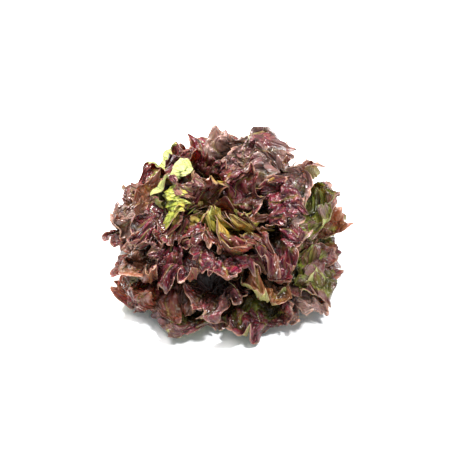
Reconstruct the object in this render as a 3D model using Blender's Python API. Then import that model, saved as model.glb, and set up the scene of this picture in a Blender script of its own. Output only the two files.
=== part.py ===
"""A head of red oak leaf lettuce, resting on the flat cut face of its stem.

A short tapering stem carries the leaves in a golden-angle spiral, from broad outer leaves that arch
over to the surface to small upright leaves at the heart. Every leaf is one thin closed blade with a
thicker midrib and rounded lobes, four on each side and one at its end.

Each leaf keeps to a layer of its own: a flared cup round the stem's axis. Cups of outer leaves lie
outside those of inner leaves, all the cups share their large folds, and lobes that would touch
another leaf are calmed until they clear. The origin is the centre of the stem's cut face, +Z is up,
and the head leans towards -Y.
"""

import math

import bpy
import numpy as np
from mathutils import Matrix
from mathutils.bvhtree import BVHTree

# Driving dimensions, in metres and degrees.
LEAF_COUNT = 45
HEART_LEAVES = 14
MIDDLE_LEAVES = 14
GOLDEN_TURN = 137.508
FIRST_TURN = 20.0
HEADING_SPREAD = 6.0

STEM_LENGTH = 0.046
STEM_TOP = 0.0435
STEM_BASE_RADIUS = 0.0145
STEM_TIP_RADIUS = 0.0045
STEM_TAPER = 1.3
STEM_TIP_BULGE = 0.001
STEM_SIDES = 16
STEM_RINGS = 8
LOWEST_ROOT = 0.009
ROOT_GAP = 0.0021

HEAD_LEAN = 26.0
HEAD_SIDE_LEAN = 5.0

HEART_LEAF_LENGTH = 0.052
OUTER_LEAF_LENGTH = 0.140
LENGTH_GROWTH = 0.5
LONGEST_LEAF = 0.15
HEART_WIDTH = 0.7
FULL_WIDTH_RANK = 0.4

# A cup's angle off the stem's axis, at its root and where the longest leaf would end.
HEART_FLARE = (2.0, 42.0)
OUTER_FLARE = (64.0, 156.0)
FLARE_SHARE = 0.62
FLARE_POWER = 1.5
CUP_REACH = 1.2 * LONGEST_LEAF
CUP_STEPS = 181
WIDEST_WRAP = 1.35

# Folds that all the leaves share: how many go round the head, their height, how often they
# repeat along a leaf, and how far they turn from the heart to the outermost leaf, in radians.
SHARED_FOLDS = ((3, 0.013, 0.5, 3.0), (5, 0.011, -0.9, -4.0), (8, 0.005, 1.3, 5.0))
FOLD_GROWTH = 1.4

# Room for a leaf's own waves: at its root, what it gains per metre along the leaf, and the most
# it can be as a share of the distance from the axis.
ROOT_ROOM = 0.0003
ROOM_GAIN = 0.13
MOST_ROOM = 0.3

# What makes one leaf differ from the next: the lowest and highest value of each draw. Sizes are
# shares of the usual one, drift and curl are in radians, and bends, cups and twists are shares of
# the room.
LENGTH_SPREAD = (0.92, 1.08)
WIDTH_SPREAD = (0.98, 1.14)
CUT_DEPTH = (0.45, 0.6)
DRIFT = (-0.25, 0.25)
LOBE_BEND = (-0.9, 0.9)
LOBE_CUP = (-0.2, 1.8)
LOBE_TWIST = (-0.8, 0.8)
LOBE_SIZE = (0.85, 1.15)
LOBE_CURL = (-1.0, 3.2)

# Leaves that grew longer or shorter than the rule, by number: the ones that reach highest at the
# back and out to the right are longer, and those low on the left are shorter.
GROWN = {
    9: 0.94,
    17: 1.12,
    25: 1.15,
    27: 1.1,
    31: 0.9,
    33: 1.05,
    35: 1.1,
    39: 0.92,
    40: 0.94,
    42: 0.92,
    44: 0.86,
}

# The share of a lobe's reach that stays flat before its end curls.
CURL_START = 0.58

# The spoon shape of a lobe: its raised rim, its raised flanks and its lowered floor.
SPOON_RIM = 0.6
SPOON_FLANK = 0.15
SPOON_FLOOR = 0.3
TWIST_GAIN = 1.2
RIPPLE_SIZE = 0.25
RIPPLE_LENGTH = 0.06

BLADE_THICKNESS = 0.0008
MIDRIB_THICKNESS = 0.0022
MIDRIB_TAPER = 0.7

# How lobes that touch are cleared: the gap kept on each side of a blade, how much of the greater
# offence makes a lobe share the blame, what is left of its waves and size after each round, and
# the rounds.
LEAF_CLEARANCE = 0.0002
SHARED_BLAME = 0.5
CALMING = 0.8
SHRINKING = 0.97
CALM_ROUNDS = 12
MOST_ROUNDS = 40

# Slow bends of the whole head: wavelength and size. They start a little away from the stem.
HEAD_BENDS = ((0.16, 0.006), (0.095, 0.0042), (0.06, 0.0024))
STILL_POINT = (0.0, 0.0, 0.02)
STILL_RADII = (0.015, 0.09)

# Leaves that come below the ease height are pressed towards the surface, beyond the stem.
FLOOR_EASE = 0.012
FLOOR_CLEARANCE = 0.0006
PRESSED_RADII = (0.03, 0.06)

# Knots along a leaf's edge, from its root to its tip: how many lobes lie behind each one, where
# its side vein starts on the midrib, the vein's slant from the midrib in degrees, and its reach.
# Roots and reaches are shares of the leaf's length.
KNOTS = np.array([0.0, 0.14, 0.22, 0.30, 0.39, 0.48, 0.57, 0.66, 0.75, 0.85, 1.0])
LOBES_BEHIND = np.array([-1.3, -0.5, 0.0, 0.5, 1.0, 1.5, 2.0, 2.5, 3.0, 3.5, 4.0])
VEIN_ROOT = np.array([0.0, 0.19, 0.255, 0.32, 0.385, 0.445, 0.505, 0.56, 0.61, 0.65, 0.65])
VEIN_SLANT = np.array([90.0, 90.0, 89.0, 86.0, 80.0, 72.0, 63.0, 52.0, 39.0, 24.0, 0.0])
VEIN_REACH = np.array([0.035, 0.05, 0.12, 0.20, 0.29, 0.34, 0.37, 0.375, 0.375, 0.365, 0.36])
LOBE_CENTRES = np.array([0.22, 0.39, 0.57, 0.75, 1.0])
END_LOBE = len(LOBE_CENTRES) - 1
END_LOBE_START = 0.85
STALK_END = (0.08, 0.2)
CUT_POWER = 2.5
LOBE_FAN = 10.0

# The grid of a leaf: stations from root to tip, and levels from midrib to edge.
STATIONS = np.concatenate(
    [[0.0, 0.08], np.linspace(0.14, 0.30, 3), np.linspace(0.345, 0.85, 12), np.linspace(0.90, 1.0, 3)]
)
LEVELS = np.array([0.0, 0.6, 1.0])

# Two stations closer than this are the same one.
SAME_PLACE = 1e-6

CREASE = 60.0
SEED = 86

# Colour and roughness of each kind of piece.
FINISHES = {
    "stem": ((0.55, 0.60, 0.35, 1.0), 0.5),
    "outer_leaf": ((0.153, 0.080, 0.058, 1.0), 0.4),
    "middle_leaf": ((0.120, 0.036, 0.036, 1.0), 0.35),
    "heart_leaf": ((0.190, 0.120, 0.035, 1.0), 0.35),
}


def clear_scene():
    for obj in list(bpy.data.objects):
        bpy.data.objects.remove(obj, do_unlink=True)


def between(low, high, share):
    return low + (high - low) * share


def smooth_step(low, high, values):
    share = np.clip((values - low) / (high - low), 0.0, 1.0)
    return share * share * (3.0 - 2.0 * share)


# The stem's axis and the flared cups round it. rank is 0 at the heart and 1 at the outermost leaf.


def root_height(rank):
    return between(STEM_LENGTH, LOWEST_ROOT, rank)


def stem_radius(height):
    return between(STEM_BASE_RADIUS, STEM_TIP_RADIUS, (height / STEM_LENGTH) ** STEM_TAPER)


def axis_frame(height):
    """The stem axis at a height: its point, and how far it is turned from the vertical."""
    share = max((height - LOWEST_ROOT) / (STEM_LENGTH - LOWEST_ROOT), 0.0)
    lean = math.radians(HEAD_LEAN) * share
    side = math.radians(HEAD_SIDE_LEAN) * share
    point = np.array([-side * height / 2, -lean * height / 2, height])
    turn = Matrix.Rotation(lean, 3, "X") @ Matrix.Rotation(-side, 3, "Y")
    return point, np.array(turn)


def cup_profile(rank):
    """Distance along the cup from its root, with radius, height and angle off the axis."""
    along = np.linspace(0.0, CUP_REACH, CUP_STEPS)
    share = rank**FLARE_SHARE
    start = math.radians(between(HEART_FLARE[0], OUTER_FLARE[0], share))
    end = math.radians(between(HEART_FLARE[1], OUTER_FLARE[1], share))
    angle = start + (end - start) * (along / LONGEST_LEAF) ** FLARE_POWER
    step = np.diff(along)
    sines = (np.sin(angle[1:]) + np.sin(angle[:-1])) / 2 * step
    cosines = (np.cos(angle[1:]) + np.cos(angle[:-1])) / 2 * step
    radius = stem_radius(root_height(rank)) + ROOT_GAP + np.concatenate([[0.0], np.cumsum(sines)])
    height = np.concatenate([[0.0], np.cumsum(cosines)])
    return along, radius, height, angle


def on_cup(rank, along, azimuth, lift):
    """Points of a cup, raised by lift towards its inside."""
    table = cup_profile(rank)
    radius = np.interp(along, table[0], table[1])
    height = np.interp(along, table[0], table[2])
    angle = np.interp(along, table[0], table[3])
    radius = radius - lift * np.cos(angle)
    height = height + lift * np.sin(angle)
    local = np.stack([radius * np.cos(azimuth), radius * np.sin(azimuth), height], axis=-1)
    point, turn = axis_frame(root_height(rank))
    return local @ turn.T + point


def shared_folds(rank, along, azimuth):
    """Lift of the folds that nested leaves have in common, so that they stay nested."""
    rng = np.random.default_rng(SEED)
    grow = (along / LONGEST_LEAF) ** FOLD_GROWTH
    lift = np.zeros_like(along)
    for count, size, repeats, turn in SHARED_FOLDS:
        start = rng.uniform(0, 2 * math.pi) + turn * rank
        wave = count * azimuth + repeats * 2 * math.pi * along / LONGEST_LEAF + start
        lift += size * grow * np.sin(wave)
    return lift


def swayed(points):
    """The whole head's own unevenness: a gentle bend of space, which keeps the cups apart."""
    rng = np.random.default_rng(SEED)
    away = smooth_step(*STILL_RADII, np.linalg.norm(points - STILL_POINT, axis=-1))
    moved = points.copy()
    for wavelength, size in HEAD_BENDS:
        for axis in range(3):
            direction = rng.normal(size=3)
            direction /= np.linalg.norm(direction)
            phase = rng.uniform(0, 2 * math.pi)
            wave = points @ direction * (2 * math.pi / wavelength) + phase
            moved[..., axis] += size * away * np.sin(wave)
    return moved


def settled(points):
    """Leaves that would sink below the surface are pressed flat on it instead."""
    height = points[..., 2]
    pressed = FLOOR_EASE * np.exp(np.minimum(height - FLOOR_EASE, 0.0) / FLOOR_EASE)
    share = smooth_step(*PRESSED_RADII, np.hypot(points[..., 0], points[..., 1]))
    eased = np.where(height < FLOOR_EASE, pressed + FLOOR_CLEARANCE, height)
    moved = points.copy()
    moved[..., 2] = between(height, eased, share)
    return moved


# One leaf. u runs from 0 at the root to 1 at the tip, s from -1 to 1 across, with the midrib at 0.


class LeafPlan:
    """What makes each leaf itself: its rank, heading and size, and how each lobe is bent."""

    def __init__(self, number):
        rng = np.random.default_rng(SEED * 1000 + number)
        self.rank = number / (LEAF_COUNT - 1)
        turn = FIRST_TURN + GOLDEN_TURN * number + rng.uniform(-HEADING_SPREAD, HEADING_SPREAD)
        self.heading = math.radians(turn)
        usual_length = between(HEART_LEAF_LENGTH, OUTER_LEAF_LENGTH, self.rank**LENGTH_GROWTH)
        self.length = usual_length * rng.uniform(*LENGTH_SPREAD) * GROWN.get(number + 1, 1.0)
        usual_width = between(HEART_WIDTH, 1.0, smooth_step(0.0, FULL_WIDTH_RANK, self.rank))
        self.width = usual_width * rng.uniform(*WIDTH_SPREAD)
        self.cut_depth = rng.uniform(*CUT_DEPTH)
        self.drift = rng.uniform(*DRIFT)
        self.ripple_start = rng.uniform(0, 2 * math.pi)
        # One value for each lobe, from the root to the tip, in a row for each side of the midrib.
        lobes = (2, len(LOBE_CENTRES))
        self.lobe_bend = rng.uniform(*LOBE_BEND, lobes)
        self.lobe_cup = rng.uniform(*LOBE_CUP, lobes)
        self.lobe_twist = rng.uniform(*LOBE_TWIST, lobes)
        self.lobe_size = rng.uniform(*LOBE_SIZE, lobes)
        self.lobe_curl = rng.uniform(*LOBE_CURL, lobes)
        # Both sides share the end lobe.
        for values in (self.lobe_bend, self.lobe_cup, self.lobe_size, self.lobe_curl):
            values[1, END_LOBE] = values[0, END_LOBE]
        self.lobe_twist[:, END_LOBE] = 0.0
        self.liveliness = np.ones(lobes)


def of_lobe(values, u, s):
    """A leaf's lobe values, blended along each side."""
    left = np.interp(u, LOBE_CENTRES, values[0])
    right = np.interp(u, LOBE_CENTRES, values[1])
    return np.where(np.less(s, 0), right, left)


def lobe_offset(u):
    """0 at the middle of a lobe, -1 and 1 at the cuts on either side of it."""
    behind = np.interp(u, KNOTS, LOBES_BEHIND)
    return 2.0 * (behind - np.round(behind))


def lobe_reach(plan, u, s):
    """How far the rim lies from the midrib along each side vein, as a share of the leaf's length."""
    lobed = smooth_step(*STALK_END, u)
    cut = plan.cut_depth * np.abs(lobe_offset(u)) ** CUT_POWER * lobed
    return np.interp(u, KNOTS, VEIN_REACH) * plan.width * of_lobe(plan.lobe_size, u, s) * (1.0 - cut)


def vein_slant(u, s):
    """Angle of a side vein from the midrib, which fans out within each lobe."""
    across = lobe_offset(u)
    lobed = smooth_step(*STALK_END, u)
    fan = LOBE_FAN * across * (1.0 - across**2) * lobed * s**2
    return np.radians(np.interp(u, KNOTS, VEIN_SLANT) - fan)


def curled(plan, u, s):
    """How far a point lies from the midrib, and how high the curl of its lobe's end lifts it."""
    reach = lobe_reach(plan, u, s)
    flat = CURL_START * reach
    beyond = np.maximum(reach * np.abs(s) - flat, 0.0)
    curl = of_lobe(plan.lobe_curl, u, s) * of_lobe(plan.liveliness, u, s)
    angle = curl * beyond / (reach - flat)
    run = np.minimum(reach * np.abs(s), flat) + beyond * np.sinc(angle / math.pi)
    rise = beyond * np.sin(angle / 2) * np.sinc(angle / 2 / math.pi)
    return run, rise


def flat_place(plan, u, s):
    """Where a point lies along and across the leaf, and its lift by the curl, in metres."""
    run, rise = curled(plan, u, s)
    slant = vein_slant(u, s)
    root = np.interp(u, KNOTS, VEIN_ROOT)
    along = root + run * np.cos(slant)
    sideways = np.sign(s) * run * np.sin(slant)
    return along * plan.length, sideways * plan.length, rise * plan.length


def own_waves(plan, u, s):
    """The leaf's own waves, from about -1 to 1: lobes bent up or down, cupped like spoons, and twisted."""
    out = np.abs(s)
    across = lobe_offset(u)
    flank = across**2
    cup = of_lobe(plan.lobe_cup, u, s)
    lift = of_lobe(plan.lobe_bend, u, s) * out**3
    lift += cup * (SPOON_RIM * out**5 + SPOON_FLANK * out**3 * flank - SPOON_FLOOR * out**2)
    lift += of_lobe(plan.lobe_twist, u, s) * TWIST_GAIN * across * (1.0 - flank) * out**2
    return lift * of_lobe(plan.liveliness, u, s)


def own_lift(plan, u, s):
    """How far the leaf's own waves and curls raise it above its cup."""
    along, _, rise = flat_place(plan, u, s)
    ring = np.interp(along, *cup_profile(plan.rank)[:2])
    room = np.minimum(ROOT_ROOM + ROOM_GAIN * along, MOST_ROOM * ring)
    lively = (of_lobe(plan.liveliness, u, 1) + of_lobe(plan.liveliness, u, -1)) / 2
    ripple = RIPPLE_SIZE * lively * np.sin(along / RIPPLE_LENGTH * 2 * math.pi + plan.ripple_start)
    return room * (own_waves(plan, u, s) + ripple) + rise


def leaf_surface(plan, u, s):
    """The leaf's middle surface in the head, for arrays of u and s."""
    along, sideways, _ = flat_place(plan, u, s)
    ring = np.interp(along, *cup_profile(plan.rank)[:2])
    middle = plan.heading + plan.drift * (along / LONGEST_LEAF) ** 2
    azimuth = middle + WIDEST_WRAP * np.tanh(sideways / ring / WIDEST_WRAP)
    lift = own_lift(plan, u, s) + shared_folds(plan.rank, along, azimuth)
    return settled(swayed(on_cup(plan.rank, along, azimuth, lift)))


def vertex_normals(points, faces):
    corner = points[faces]
    face_normal = np.cross(corner[:, 1] - corner[:, 0], corner[:, 2] - corner[:, 0])
    normals = np.zeros_like(points)
    for column in range(3):
        np.add.at(normals, faces[:, column], face_normal)
    return normals / np.linalg.norm(normals, axis=1, keepdims=True)


def leaf_grid():
    """u, s and point numbers of a leaf's grid, with its triangles.

    Both sides share the last row, and all the veins of the end lobe start from one point of the midrib.
    """
    across = np.concatenate([-LEVELS[::-1], LEVELS[1:]])
    u, s = np.meshgrid(STATIONS, across, indexing="ij")
    rows, columns = u.shape
    middle = columns // 2
    index = np.arange(rows * columns).reshape(rows, columns)
    index[-1, :middle] = index[-1, :middle:-1]
    end_lobe = STATIONS > END_LOBE_START - SAME_PLACE
    index[end_lobe, middle] = index[end_lobe, middle][0]
    faces = []
    for row in range(rows - 1):
        for column in range(columns - 1):
            a, b = index[row, column], index[row, column + 1]
            c, d = index[row + 1, column + 1], index[row + 1, column]
            if column < middle:
                faces += [(a, c, b), (a, d, c)]
            else:
                faces += [(a, d, b), (b, d, c)]
    whole = [face for face in faces if len(set(face)) == 3]
    used, faces = np.unique(whole, return_inverse=True)
    return u.reshape(-1)[used], s.reshape(-1)[used], np.searchsorted(used, index), faces.reshape(-1, 3)


LEAF_U, LEAF_S, LEAF_INDEX, LEAF_FACES = leaf_grid()


def leaf_blade(plan, spare):
    """A closed blade: the grid's triangles on both faces, alike, and a rim round them.

    spare thickens the blade on each face, for a trial.
    """
    points = leaf_surface(plan, LEAF_U, LEAF_S)
    normals = vertex_normals(points, LEAF_FACES)
    rib = np.where(LEAF_S == 0.0, (1.0 - LEAF_U) ** MIDRIB_TAPER, 0.0)
    half = BLADE_THICKNESS / 2 + spare
    above = points + normals * half
    below = points - normals * (half + (MIDRIB_THICKNESS - BLADE_THICKNESS) * rib)[:, None]
    count = len(points)
    edge = list(LEAF_INDEX[0, ::-1]) + list(LEAF_INDEX[1:, 0]) + list(LEAF_INDEX[-2:0:-1, -1])
    rim = []
    for here, after in zip(edge, edge[1:] + edge[:1]):
        rim += [(here, here + count, after + count), (here, after + count, after)]
    faces = np.concatenate([LEAF_FACES, LEAF_FACES[:, ::-1] + count, np.array(rim)])
    return np.concatenate([above, below]), faces


def touched_lobes(faces, face_numbers):
    """Sides and lobes that shape these faces of a blade."""
    corners = faces[sorted(face_numbers)] % len(LEAF_U)
    middles = LEAF_U[corners].mean(axis=1)
    near = np.abs(middles[:, None] - LOBE_CENTRES) < LOBE_CENTRES[1] - LOBE_CENTRES[0]
    right = LEAF_S[corners].mean(axis=1) < 0
    found = set()
    for side in (0, 1):
        found |= {(side, lobe) for lobe in np.flatnonzero(near[right == (side == 1)].any(axis=0))}
    if (0, END_LOBE) in found or (1, END_LOBE) in found:
        found |= {(0, END_LOBE), (1, END_LOBE)}
    return found


def face_lifts(plan, faces):
    """How far the leaf's own shape raises each face above its cup."""
    return own_lift(plan, LEAF_U, LEAF_S)[faces % len(LEAF_U)].mean(axis=1)


def blade_tree(points, faces):
    return BVHTree.FromPolygons(points.tolist(), faces.tolist())


def faces_crossing_own_blade(points, faces):
    """Faces of a blade that cross another of its own faces, leaving out those that share a corner."""
    tree = blade_tree(points, faces)
    pairs = np.array(tree.overlap(tree))
    if not len(pairs):
        return set()
    shared = (faces[pairs[:, 0]][:, :, None] == faces[pairs[:, 1]][:, None, :]).any(axis=(1, 2))
    return set(pairs[~shared].reshape(-1))


def calm_touching_lobes(plans):
    """Flattens lobes that touch a leaf, and later shrinks them, until all the leaves clear.

    The first leaf of a pair is the inner one, so it is to blame where it sinks, and the second where
    it rises.
    """
    blades = [leaf_blade(plan, LEAF_CLEARANCE) for plan in plans]
    for trial in range(MOST_ROUNDS):
        trees = [blade_tree(*blade) for blade in blades]
        touched = [
            faces_crossing_own_blade(*leaf_blade(plan, 0.0)) | faces_crossing_own_blade(*blade)
            for plan, blade in zip(plans, blades)
        ]
        lifts = [face_lifts(plan, faces) for plan, (_, faces) in zip(plans, blades)]
        for first, tree in enumerate(trees):
            for second in range(first + 1, len(trees)):
                for one, other in tree.overlap(trees[second]):
                    sinks = max(-lifts[first][one], 0.0)
                    rises = max(lifts[second][other], 0.0)
                    most = max(sinks, rises)
                    if sinks >= SHARED_BLAME * most:
                        touched[first].add(one)
                    if rises >= SHARED_BLAME * most:
                        touched[second].add(other)
        for number, face_numbers in enumerate(touched):
            if face_numbers:
                for side, lobe in touched_lobes(blades[number][1], face_numbers):
                    plans[number].liveliness[side, lobe] *= CALMING
                    if trial >= CALM_ROUNDS:
                        plans[number].lobe_size[side, lobe] *= SHRINKING
                blades[number] = leaf_blade(plans[number], LEAF_CLEARANCE)
        if not any(touched):
            return


def leaf_kind(number):
    if number < HEART_LEAVES:
        return "heart_leaf"
    if number < HEART_LEAVES + MIDDLE_LEAVES:
        return "middle_leaf"
    return "outer_leaf"


def stem_solid():
    """Rings round the leaning axis, closed by the flat cut face below and a blunt tip above."""
    angles = np.linspace(0, 2 * math.pi, STEM_SIDES, endpoint=False)
    circle = np.stack([np.cos(angles), np.sin(angles), np.zeros(STEM_SIDES)], axis=-1)
    rings = []
    for height in np.linspace(0.0, STEM_TOP, STEM_RINGS):
        point, turn = axis_frame(height)
        rings.append(circle * stem_radius(height) @ turn.T + point)
    cut_centre = axis_frame(0.0)[0]
    tip = axis_frame(STEM_TOP + STEM_TIP_BULGE)[0]
    points = np.concatenate(rings + [[cut_centre], [tip]])
    faces = []
    for side in range(STEM_SIDES):
        after = (side + 1) % STEM_SIDES
        for ring in range(STEM_RINGS - 1):
            low, high = ring * STEM_SIDES, (ring + 1) * STEM_SIDES
            faces.append((low + side, low + after, high + after, high + side))
        top = (STEM_RINGS - 1) * STEM_SIDES
        faces.append((after, side, len(points) - 2))
        faces.append((top + side, top + after, len(points) - 1))
    return points, faces


def finish(kind):
    """The Principled material of one kind of piece."""
    colour, roughness = FINISHES[kind]
    material = bpy.data.materials.new(kind)
    material.use_nodes = True
    shader = material.node_tree.nodes["Principled BSDF"]
    shader.inputs["Base Color"].default_value = colour
    shader.inputs["Roughness"].default_value = roughness
    shader.inputs["Metallic"].default_value = 0.0
    return material


def add_piece(name, points, faces, material):
    mesh = bpy.data.meshes.new(name)
    mesh.from_pydata(points.tolist(), [], [tuple(map(int, face)) for face in faces])
    mesh.materials.append(material)
    mesh.shade_smooth()
    mesh.set_sharp_from_angle(angle=math.radians(CREASE))
    bpy.context.scene.collection.objects.link(bpy.data.objects.new(name, mesh))


def main():
    clear_scene()
    materials = {kind: finish(kind) for kind in FINISHES}
    add_piece("stem", *stem_solid(), materials["stem"])
    plans = [LeafPlan(number) for number in range(LEAF_COUNT)]
    calm_touching_lobes(plans)
    for number, plan in enumerate(plans):
        kind = leaf_kind(number)
        add_piece(f"{kind}_{number + 1:02d}", *leaf_blade(plan, 0.0), materials[kind])


main()
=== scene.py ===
"""The looks of a head of red oak leaf lettuce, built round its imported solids.

The head rests on its cut stem. Its leaves grow in a spiral round the stem, from broad outer leaves
that arch over to small crinkled ones at the heart. Each fine leaf follows the same rule as its solid,
so it lies in the same place, and it gains what the solid leaves out: scalloped and frilled rims,
blisters between the veins, and the colours of its two faces. Lengths are in metres.
"""

import math

import bpy
import numpy as np
from mathutils import Matrix, Vector
from mathutils.bvhtree import BVHTree


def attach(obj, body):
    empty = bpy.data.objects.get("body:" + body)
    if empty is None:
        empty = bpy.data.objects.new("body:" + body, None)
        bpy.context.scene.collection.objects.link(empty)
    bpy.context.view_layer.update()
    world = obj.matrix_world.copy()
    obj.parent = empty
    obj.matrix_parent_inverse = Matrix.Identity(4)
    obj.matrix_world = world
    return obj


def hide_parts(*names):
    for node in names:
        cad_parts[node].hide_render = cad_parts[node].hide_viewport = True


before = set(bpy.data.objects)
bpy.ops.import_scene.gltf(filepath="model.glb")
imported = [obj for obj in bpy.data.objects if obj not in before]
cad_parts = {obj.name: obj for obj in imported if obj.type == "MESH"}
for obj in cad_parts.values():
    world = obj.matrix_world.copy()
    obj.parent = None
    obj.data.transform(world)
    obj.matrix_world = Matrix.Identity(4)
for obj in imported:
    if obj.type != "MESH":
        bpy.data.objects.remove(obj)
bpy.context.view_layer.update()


# The camera stands in front of the head and looks down on it, as in the photograph.
# Its lens is a short telephoto, so that near and far leaves keep their sizes.
CAMERA_ELEVATION = math.radians(43.0)
CAMERA_DISTANCE = 1.40
CAMERA_LENS = 104.0
CAMERA_AIM = Vector((0.0045, -0.004, 0.052))

camera = bpy.data.objects.new("camera", bpy.data.cameras.new("camera"))
camera.data.lens = CAMERA_LENS
towards_camera = Vector((0.0, -math.cos(CAMERA_ELEVATION), math.sin(CAMERA_ELEVATION)))
camera.location = CAMERA_AIM + towards_camera * CAMERA_DISTANCE
camera.rotation_euler = (-towards_camera).to_track_quat("-Z", "Y").to_euler()
bpy.context.scene.collection.objects.link(camera)
bpy.context.scene.camera = camera


# The surface under the head is a plain sheet of matt white card, with nothing on it.
# It runs far out on every side, so that no edge of it shows.
FLOOR_HALF_WIDTH = 6.0
FLOOR_COLOUR = (0.96, 0.965, 0.97, 1.0)
FLOOR_ROUGHNESS = 0.9

floor_mesh = bpy.data.meshes.new("floor")
floor_corners = [
    (x * FLOOR_HALF_WIDTH, y * FLOOR_HALF_WIDTH, 0.0) for x, y in ((-1, -1), (1, -1), (1, 1), (-1, 1))
]
floor_mesh.from_pydata(floor_corners, [], [(0, 1, 2, 3)])
floor = bpy.data.objects.new("floor", floor_mesh)
bpy.context.scene.collection.objects.link(floor)
card = bpy.data.materials.new("white_card")
card.use_nodes = True
paper = card.node_tree.nodes["Principled BSDF"].inputs
paper["Base Color"].default_value = FLOOR_COLOUR
paper["Roughness"].default_value = FLOOR_ROUGHNESS
floor_mesh.materials.append(card)


# Soft daylight: an even sky on all sides, and one large window-like light high on the upper left,
# whose shadows fall to the right. Two smaller, brighter lights give the moist leaves their glints.
SKY_COLOUR = (0.87, 0.94, 1.0, 1.0)
SKY_STRENGTH = 0.57
# Each light's place, size, power and colour.
LIGHTS = {
    "window": ((-0.5, 0.1, 1.6), 1.1, 27.0, (1.0, 0.97, 0.94)),
    "glint": ((-0.35, 0.5, 1.0), 0.15, 30.0, (1.0, 0.97, 0.97)),
    "side_glint": ((0.5, -0.2, 1.1), 0.14, 13.0, (1.0, 1.0, 1.0)),
}
LIT_POINT = Vector((0.0, 0.0, 0.06))

sky = bpy.data.worlds.new("sky")
sky.use_nodes = True
background = sky.node_tree.nodes["Background"].inputs
background["Color"].default_value = SKY_COLOUR
background["Strength"].default_value = SKY_STRENGTH
bpy.context.scene.world = sky
bpy.context.scene.view_settings.view_transform = "Standard"
for light_name, (place, size, power, colour) in LIGHTS.items():
    lamp = bpy.data.lights.new(light_name, "AREA")
    lamp.size = size
    lamp.energy = power
    lamp.color = colour
    light = bpy.data.objects.new(light_name, lamp)
    light.location = place
    light.rotation_euler = (LIT_POINT - light.location).to_track_quat("-Z", "Y").to_euler()
    bpy.context.scene.collection.objects.link(light)


# The stem is the short, tapering butt that every leaf grows from. It is pale, firm, fibrous flesh,
# cut straight across below. Its axis leans a little, and the layers that hold the leaves follow it.
STEM_LENGTH = 0.046
STEM_TOP = 0.0435
STEM_BASE_RADIUS = 0.0145
STEM_TIP_RADIUS = 0.0045
STEM_TAPER = 1.3
LOWEST_ROOT = 0.009
HEAD_LEAN = 26.0
HEAD_SIDE_LEAN = 5.0
STEM_TIP_BULGE = 0.001
STEM_SIDES = 48
STEM_RINGS = 36
CUT_RINGS = 6
CUT_RING_WIDTHS = (0.05, 0.97)
CUT_PATTERN_HEIGHT = 0.02
SCAR_DEPTH = 0.0004
SCAR_TURNS = 3
SCAR_PITCH = 0.007
PLANT_IOR = 1.38
FLESH = (0.62, 0.64, 0.4, 1.0)
RIND = (0.43, 0.48, 0.2, 1.0)
RUST = (0.3, 0.11, 0.04, 1.0)


def between(low, high, share):
    return low + (high - low) * share


def smooth_step(low, high, values):
    share = np.clip((values - low) / (high - low), 0.0, 1.0)
    return share * share * (3.0 - 2.0 * share)


def stem_radius(height):
    return between(STEM_BASE_RADIUS, STEM_TIP_RADIUS, (height / STEM_LENGTH) ** STEM_TAPER)


def axis_frame(height):
    """The stem axis at a height: its point, and how far it is turned from the vertical."""
    share = max((height - LOWEST_ROOT) / (STEM_LENGTH - LOWEST_ROOT), 0.0)
    lean = math.radians(HEAD_LEAN) * share
    side = math.radians(HEAD_SIDE_LEAN) * share
    point = np.array([-side * height / 2, -lean * height / 2, height])
    turn = Matrix.Rotation(lean, 3, "X") @ Matrix.Rotation(-side, 3, "Y")
    return point, np.array(turn)


class Skin:
    """A material that is put together from facts kept at the mesh's points."""

    def __init__(self, name, roughness):
        self.material = bpy.data.materials.new(name)
        self.material.use_nodes = True
        self.nodes = self.material.node_tree.nodes
        self.links = self.material.node_tree.links
        self.shader = self.nodes["Principled BSDF"]
        self.shader.inputs["Roughness"].default_value = roughness
        self.shader.inputs["IOR"].default_value = PLANT_IOR
        self.place = self.node("UVMap", "UV", {}, uv_map="flat")

    def node(self, kind, output, sockets, **settings):
        """A new node, with constants or other nodes' outputs on its sockets."""
        node = self.nodes.new("ShaderNode" + kind)
        for setting, value in settings.items():
            setattr(node, setting, value)
        for socket, value in sockets.items():
            if isinstance(value, bpy.types.NodeSocket):
                self.links.new(value, node.inputs[socket])
            else:
                node.inputs[socket].default_value = value
        return node.outputs[output]

    def fact(self, name):
        return self.node("Attribute", "Fac", {}, attribute_name=name)

    def facts(self, weights):
        return [(self.fact(name), weight) for name, weight in weights.items()]

    def noise(self, size, detail=2.0):
        sockets = {"Scale": 1.0 / size, "Detail": detail, "Vector": self.place}
        return self.node("TexNoise", "Fac", sockets)

    def net(self, size):
        """Distance from the fine net of veins."""
        sockets = {"Scale": 1.0 / size, "Vector": self.place}
        return self.node("TexVoronoi", "Distance", sockets, feature="DISTANCE_TO_EDGE")

    def math(self, operation, first, second=0.0):
        return self.node("Math", "Value", {0: first, 1: second}, operation=operation)

    def weighed(self, *terms):
        """Sum of values, each times its weight."""
        total = 0.0
        for value, weight in terms:
            total = self.math("ADD", self.math("MULTIPLY", value, weight), total)
        return total

    def step(self, value, low, high):
        sockets = {"Value": value, "From Min": low, "From Max": high}
        return self.node("MapRange", "Result", sockets, interpolation_type="SMOOTHSTEP")

    def mix(self, first, second, share):
        sockets = {"Factor": share, "A": first, "B": second}
        return self.node("Mix", "Result", sockets, data_type="RGBA")

    def paint(self, colour, glow, glow_depths):
        """Colours the surface, and lets light of each colour glow through it to its own depth."""
        self.links.new(colour, self.shader.inputs["Base Color"])
        self.shader.inputs["Subsurface Weight"].default_value = glow
        self.shader.inputs["Subsurface Radius"].default_value = glow_depths
        self.shader.inputs["Subsurface Scale"].default_value = 1.0

    def bump(self, height, depth):
        normal = self.node("Bump", "Normal", {"Distance": depth, "Height": height})
        self.links.new(normal, self.shader.inputs["Normal"])


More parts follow.
